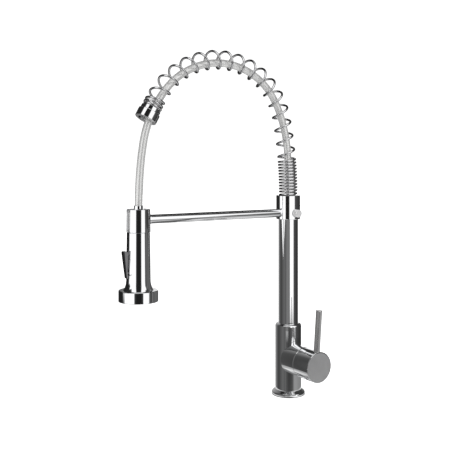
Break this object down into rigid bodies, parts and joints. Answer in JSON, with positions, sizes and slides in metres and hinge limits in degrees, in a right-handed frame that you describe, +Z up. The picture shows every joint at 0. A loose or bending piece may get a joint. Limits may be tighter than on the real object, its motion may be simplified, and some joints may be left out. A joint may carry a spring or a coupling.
{
  "type": "spring spout kitchen faucet",
  "caption": "Chrome single-lever kitchen faucet with a coil-wound spout arch, a side lever handle and a pull-down spray head docked in a horizontal arm.",
  "frame": {"origin": "centre of the base flange's underside, on the deck, on the column's axis", "axes": "+Z up along the column, -Y towards the spray head over the sink, +X along the valve barrel towards the handle"},
  "size_m": [0.103, 0.3005, 0.5061],
  "materials": {
    "chrome": "polished chrome plate on brass",
    "satin_face": "satin",
    "spring_wire": "polished chrome plate on steel wire",
    "brass": "machined",
    "steel_screw": "machined",
    "acetal": "smooth",
    "dock_plastic": "satin",
    "cartridge_plastic": "moulded",
    "ceramic": "lapped ceramic",
    "rubber": "moulded",
    "nozzle_rubber": "moulded silicone",
    "hose_sheath": "smooth pearl-grey sheath",
    "spray_plastic": "moulded"
  },
  "bodies": {
    "column": {"base_flange": "chrome", "deck_seal": "rubber", "valve_body": "chrome", "swivel_ring": "chrome", "thrust_washer": "acetal", "swivel_bush": "acetal", "retaining_screw": "steel_screw", "cartridge_housing": "cartridge_plastic", "cartridge_base": "cartridge_plastic", "port_seals": "rubber", "fixed_disc": "ceramic", "cartridge_nut": "brass", "dome_cover": "chrome"},
    "cartridge_turret": {"stem_carrier": "cartridge_plastic", "pivot_pin": "steel_screw"},
    "sliding_disc": {"moving_disc": "ceramic"},
    "handle": {"cartridge_stem": "brass", "handle_cap": "chrome", "handle_face": "satin_face", "lever_pin": "chrome", "handle_screw": "steel_screw"},
    "spout": {"riser": "chrome", "swivel_spigot": "brass", "swivel_o_rings": "rubber", "spring_seat": "brass", "arm_collar": "chrome", "docking_arm": "chrome", "docking_holder": "chrome", "holder_liner": "dock_plastic", "spring": "spring_wire", "spring_end_cap": "chrome", "coil_hose": "hose_sheath"},
    "thumb_screw": {"lock_knob": "chrome"},
    "spray_head": {"head_neck": "dock_plastic", "hose_crimp": "hose_sheath", "head_shell": "chrome", "head_skirt": "chrome", "flow_divider": "spray_plastic", "spray_plate": "spray_plastic", "spray_nozzles": "nozzle_rubber", "aerator": "acetal", "trigger_pin": "steel_screw", "free_hose": "hose_sheath"},
    "trigger": {"spray_trigger": "chrome"},
    "plunger": {"valve_plunger": "steel_screw"}
  },
  "joints": [
    {"name": "spout_swivel", "type": "hinge", "parent": "column", "child": "spout", "pos_m": [0, 0, 0.095], "axis": [0, 0, 1], "continuous": true},
    {"name": "warmth_turn", "type": "hinge", "parent": "column", "child": "cartridge_turret", "pos_m": [0.026, 0, 0.055], "axis": [1, 0, 0], "range_deg": [-45, 45]},
    {"name": "flow_tilt", "type": "hinge", "parent": "cartridge_turret", "child": "handle", "pos_m": [0.026, 0, 0.055], "axis": [0, 1, 0], "range_deg": [0, 20]},
    {"name": "disc_slide", "type": "slide", "parent": "cartridge_turret", "child": "sliding_disc", "axis": [0, 0, 1], "range_m": [0, 0.0018]},
    {"name": "thumb_screw_turn", "type": "hinge", "parent": "spout", "child": "thumb_screw", "pos_m": [0.018, 0, 0.2713], "axis": [1, 0, 0], "range_deg": [0, 360]},
    {"name": "head_pull", "type": "slide", "parent": "spout", "child": "spray_head", "axis": [0, 0, -1], "range_m": [0, 0.15], "stiffness_N_per_m": 60, "springref_m": -0.12, "deforming": ["free_hose"]},
    {"name": "trigger_press", "type": "hinge", "parent": "spray_head", "child": "trigger", "pos_m": [0, -0.2636, 0.1996], "axis": [-1, 0, 0], "range_deg": [0, 7], "stiffness_Nm_per_rad": 0.2, "springref_deg": -11.46},
    {"name": "plunger_slide", "type": "slide", "parent": "spray_head", "child": "plunger", "axis": [0, 1, 0], "range_m": [0, 0.0028]}
  ],
  "couplings": [
    {"joint": "disc_slide", "follows": "flow_tilt", "m_per_rad": 0.00485},
    {"joint": "plunger_slide", "follows": "trigger_press", "m_per_rad": 0.0224}
  ]
}
